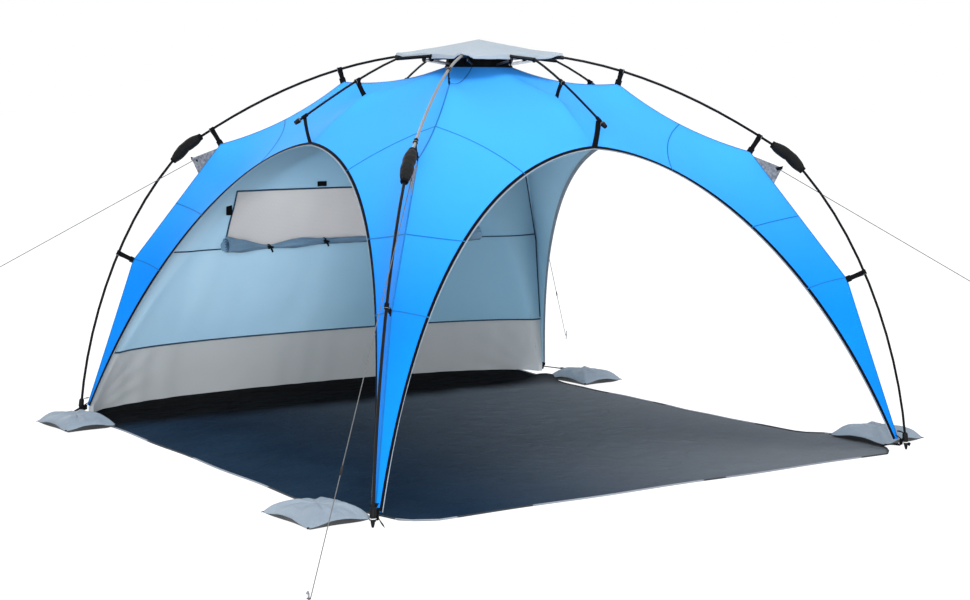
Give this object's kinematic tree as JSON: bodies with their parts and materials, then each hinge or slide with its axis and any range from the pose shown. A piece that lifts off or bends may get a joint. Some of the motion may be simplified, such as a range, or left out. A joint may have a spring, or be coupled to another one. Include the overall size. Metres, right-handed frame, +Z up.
{
  "type": "pop-up beach pavilion tent",
  "caption": "Square open-sided beach tent: a blue canopy hung under a folding outside frame with a hub, one sloping back wall, groundsheet and sand pockets.",
  "frame": {"origin": "on the ground under the hub, midway between the four feet", "axes": "+Z up, +Y toward the sloping back wall, +X to the right when looking in through the front doorway"},
  "size_m": [4.4929, 4.3515, 1.5807],
  "materials": {
    "pole_black": "black coated tube",
    "hub_black": "black moulded nylon",
    "link_steel": "zinc plated",
    "canopy_blue": "coated polyester, sky blue",
    "wall_pale": "coated polyester, pale grey-blue",
    "mesh_sand": "light sand-grey cloth",
    "ground_navy": "dark navy groundsheet",
    "pocket_grey": "pale grey cloth, filled",
    "cap_grey": "pale grey cloth",
    "sleeve_black": "black padded cloth and rubber",
    "guy_cord": "grey braided cord",
    "peg_steel": "bright steel wire"
  },
  "bodies": {
    "hub_and_cloth": {"hub_crown": "hub_black", "hub_spindle": "pole_black", "canopy_roof": "canopy_blue", "canopy_leg_front_left": "canopy_blue", "canopy_leg_front_right": "canopy_blue", "canopy_leg_back_right": "canopy_blue", "canopy_leg_back_left": "canopy_blue", "back_wall": "wall_pale", "window_mesh": "mesh_sand", "wall_band": "mesh_sand", "window_roll": "wall_pale", "groundsheet": "ground_navy", "rain_cap": "cap_grey", "sand_pocket_front_left": "pocket_grey", "sand_pocket_front_right": "pocket_grey", "sand_pocket_back_right": "pocket_grey", "sand_pocket_back_left": "pocket_grey", "guy_front_left": "guy_cord", "guy_front_right": "guy_cord", "guy_back_right": "guy_cord", "guy_back_left": "guy_cord", "peg_front_left": "peg_steel", "peg_front_right": "peg_steel", "peg_back_right": "peg_steel", "peg_back_left": "peg_steel"},
    "runner": {"hub_runner": "hub_black"},
    "arm_front_left": {"arm_socket_front_left": "hub_black", "arm_pole_front_left": "pole_black", "elbow_sleeve_front_left": "sleeve_black"},
    "leg_front_left": {"leg_pole_front_left": "pole_black", "foot_front_left": "sleeve_black"},
    "link_front_left": {"arm_link_front_left": "link_steel"},
    "arm_front_right": {"arm_socket_front_right": "hub_black", "arm_pole_front_right": "pole_black", "elbow_sleeve_front_right": "sleeve_black"},
    "leg_front_right": {"leg_pole_front_right": "pole_black", "foot_front_right": "sleeve_black"},
    "link_front_right": {"arm_link_front_right": "link_steel"},
    "arm_back_right": {"arm_socket_back_right": "hub_black", "arm_pole_back_right": "pole_black", "elbow_sleeve_back_right": "sleeve_black"},
    "leg_back_right": {"leg_pole_back_right": "pole_black", "foot_back_right": "sleeve_black"},
    "link_back_right": {"arm_link_back_right": "link_steel"},
    "arm_back_left": {"arm_socket_back_left": "hub_black", "arm_pole_back_left": "pole_black", "elbow_sleeve_back_left": "sleeve_black"},
    "leg_back_left": {"leg_pole_back_left": "pole_black", "foot_back_left": "sleeve_black"},
    "link_back_left": {"arm_link_back_left": "link_steel"},
    "side_front": {"side_arm_front": "pole_black"},
    "side_link_front": {"side_link_front": "link_steel"},
    "side_right": {"side_arm_right": "pole_black"},
    "side_link_right": {"side_link_right": "link_steel"},
    "side_back": {"side_arm_back": "pole_black"},
    "side_link_back": {"side_link_back": "link_steel"},
    "side_left": {"side_arm_left": "pole_black"},
    "side_link_left": {"side_link_left": "link_steel"}
  },
  "joints": [
    {"name": "fold_front_left", "type": "hinge", "parent": "hub_and_cloth", "child": "arm_front_left", "pos_m": [-0.05091, -0.05091, 1.522], "axis": [0.7071, -0.7071, 0], "range_deg": [0, 45], "deforming": ["canopy_roof", "canopy_leg_front_left", "canopy_leg_front_right", "canopy_leg_back_right", "canopy_leg_back_left", "back_wall", "window_mesh", "wall_band", "window_roll", "groundsheet", "rain_cap", "sand_pocket_front_left", "sand_pocket_front_right", "sand_pocket_back_right", "sand_pocket_back_left"]},
    {"name": "fold_front_right", "type": "hinge", "parent": "hub_and_cloth", "child": "arm_front_right", "pos_m": [0.05091, -0.05091, 1.522], "axis": [0.7071, 0.7071, 0], "range_deg": [0, 45]},
    {"name": "fold_back_right", "type": "hinge", "parent": "hub_and_cloth", "child": "arm_back_right", "pos_m": [0.05091, 0.05091, 1.522], "axis": [-0.7071, 0.7071, 0], "range_deg": [0, 45]},
    {"name": "fold_back_left", "type": "hinge", "parent": "hub_and_cloth", "child": "arm_back_left", "pos_m": [-0.05091, 0.05091, 1.522], "axis": [-0.7071, -0.7071, 0], "range_deg": [0, 45]},
    {"name": "fold_side_front", "type": "hinge", "parent": "hub_and_cloth", "child": "side_front", "pos_m": [0, -0.072, 1.522], "axis": [1, 0, 0], "range_deg": [0, 45]},
    {"name": "fold_side_right", "type": "hinge", "parent": "hub_and_cloth", "child": "side_right", "pos_m": [0.072, 0, 1.522], "axis": [0, 1, 0], "range_deg": [0, 45]},
    {"name": "fold_side_back", "type": "hinge", "parent": "hub_and_cloth", "child": "side_back", "pos_m": [0, 0.072, 1.522], "axis": [-1, 0, 0], "range_deg": [0, 45]},
    {"name": "fold_side_left", "type": "hinge", "parent": "hub_and_cloth", "child": "side_left", "pos_m": [-0.072, 0, 1.522], "axis": [0, -1, 0], "range_deg": [0, 45]},
    {"name": "runner_slide", "type": "slide", "parent": "hub_and_cloth", "child": "runner", "axis": [0, 0, -1], "range_m": [0, 0.1969]},
    {"name": "link_pivot_front_left", "type": "hinge", "parent": "arm_front_left", "child": "link_front_left", "pos_m": [-0.15698, -0.15698, 1.496], "axis": [-0.7071, 0.7071, 0], "range_deg": [0, 90]},
    {"name": "link_pivot_front_right", "type": "hinge", "parent": "arm_front_right", "child": "link_front_right", "pos_m": [0.15698, -0.15698, 1.496], "axis": [-0.7071, -0.7071, 0], "range_deg": [0, 90]},
    {"name": "link_pivot_back_right", "type": "hinge", "parent": "arm_back_right", "child": "link_back_right", "pos_m": [0.15698, 0.15698, 1.496], "axis": [0.7071, -0.7071, 0], "range_deg": [0, 90]},
    {"name": "link_pivot_back_left", "type": "hinge", "parent": "arm_back_left", "child": "link_back_left", "pos_m": [-0.15698, 0.15698, 1.496], "axis": [0.7071, 0.7071, 0], "range_deg": [0, 90]},
    {"name": "side_link_pivot_front", "type": "hinge", "parent": "side_front", "child": "side_link_front", "pos_m": [0, -0.222, 1.496], "axis": [-1, 0, 0], "range_deg": [0, 90]},
    {"name": "side_link_pivot_right", "type": "hinge", "parent": "side_right", "child": "side_link_right", "pos_m": [0.222, 0, 1.496], "axis": [0, -1, 0], "range_deg": [0, 90]},
    {"name": "side_link_pivot_back", "type": "hinge", "parent": "side_back", "child": "side_link_back", "pos_m": [0, 0.222, 1.496], "axis": [1, 0, 0], "range_deg": [0, 90]},
    {"name": "side_link_pivot_left", "type": "hinge", "parent": "side_left", "child": "side_link_left", "pos_m": [-0.222, 0, 1.496], "axis": [0, 1, 0], "range_deg": [0, 90]},
    {"name": "elbow_front_left", "type": "hinge", "parent": "arm_front_left", "child": "leg_front_left", "pos_m": [-0.86621, -0.86621, 1.137], "axis": [0.7218, -0.6921, 0], "range_deg": [0, 100], "deforming": ["elbow_sleeve_front_left", "guy_front_left"]},
    {"name": "elbow_front_right", "type": "hinge", "parent": "arm_front_right", "child": "leg_front_right", "pos_m": [0.86621, -0.86621, 1.137], "axis": [0.6921, 0.7218, 0], "range_deg": [0, 100], "deforming": ["elbow_sleeve_front_right", "guy_front_right"]},
    {"name": "elbow_back_right", "type": "hinge", "parent": "arm_back_right", "child": "leg_back_right", "pos_m": [0.86621, 0.86621, 1.137], "axis": [-0.7218, 0.6921, 0], "range_deg": [0, 100], "deforming": ["elbow_sleeve_back_right", "guy_back_right"]},
    {"name": "elbow_back_left", "type": "hinge", "parent": "arm_back_left", "child": "leg_back_left", "pos_m": [-0.86621, 0.86621, 1.137], "axis": [-0.6921, -0.7218, 0], "range_deg": [0, 100], "deforming": ["elbow_sleeve_back_left", "guy_back_left"]}
  ],
  "couplings": [
    {"joint": "fold_front_right", "follows": "fold_front_left", "ratio": 1},
    {"joint": "fold_back_right", "follows": "fold_front_left", "ratio": 1},
    {"joint": "fold_back_left", "follows": "fold_front_left", "ratio": 1},
    {"joint": "fold_side_front", "follows": "fold_front_left", "ratio": 1},
    {"joint": "fold_side_right", "follows": "fold_front_left", "ratio": 1},
    {"joint": "fold_side_back", "follows": "fold_front_left", "ratio": 1},
    {"joint": "fold_side_left", "follows": "fold_front_left", "ratio": 1},
    {"joint": "runner_slide", "follows": "fold_front_left", "m_per_rad": 0.2507},
    {"joint": "link_pivot_front_left", "follows": "fold_front_left", "ratio": 2},
    {"joint": "link_pivot_front_right", "follows": "fold_front_left", "ratio": 2},
    {"joint": "link_pivot_back_right", "follows": "fold_front_left", "ratio": 2},
    {"joint": "link_pivot_back_left", "follows": "fold_front_left", "ratio": 2},
    {"joint": "side_link_pivot_front", "follows": "fold_front_left", "ratio": 2},
    {"joint": "side_link_pivot_right", "follows": "fold_front_left", "ratio": 2},
    {"joint": "side_link_pivot_back", "follows": "fold_front_left", "ratio": 2},
    {"joint": "side_link_pivot_left", "follows": "fold_front_left", "ratio": 2}
  ]
}
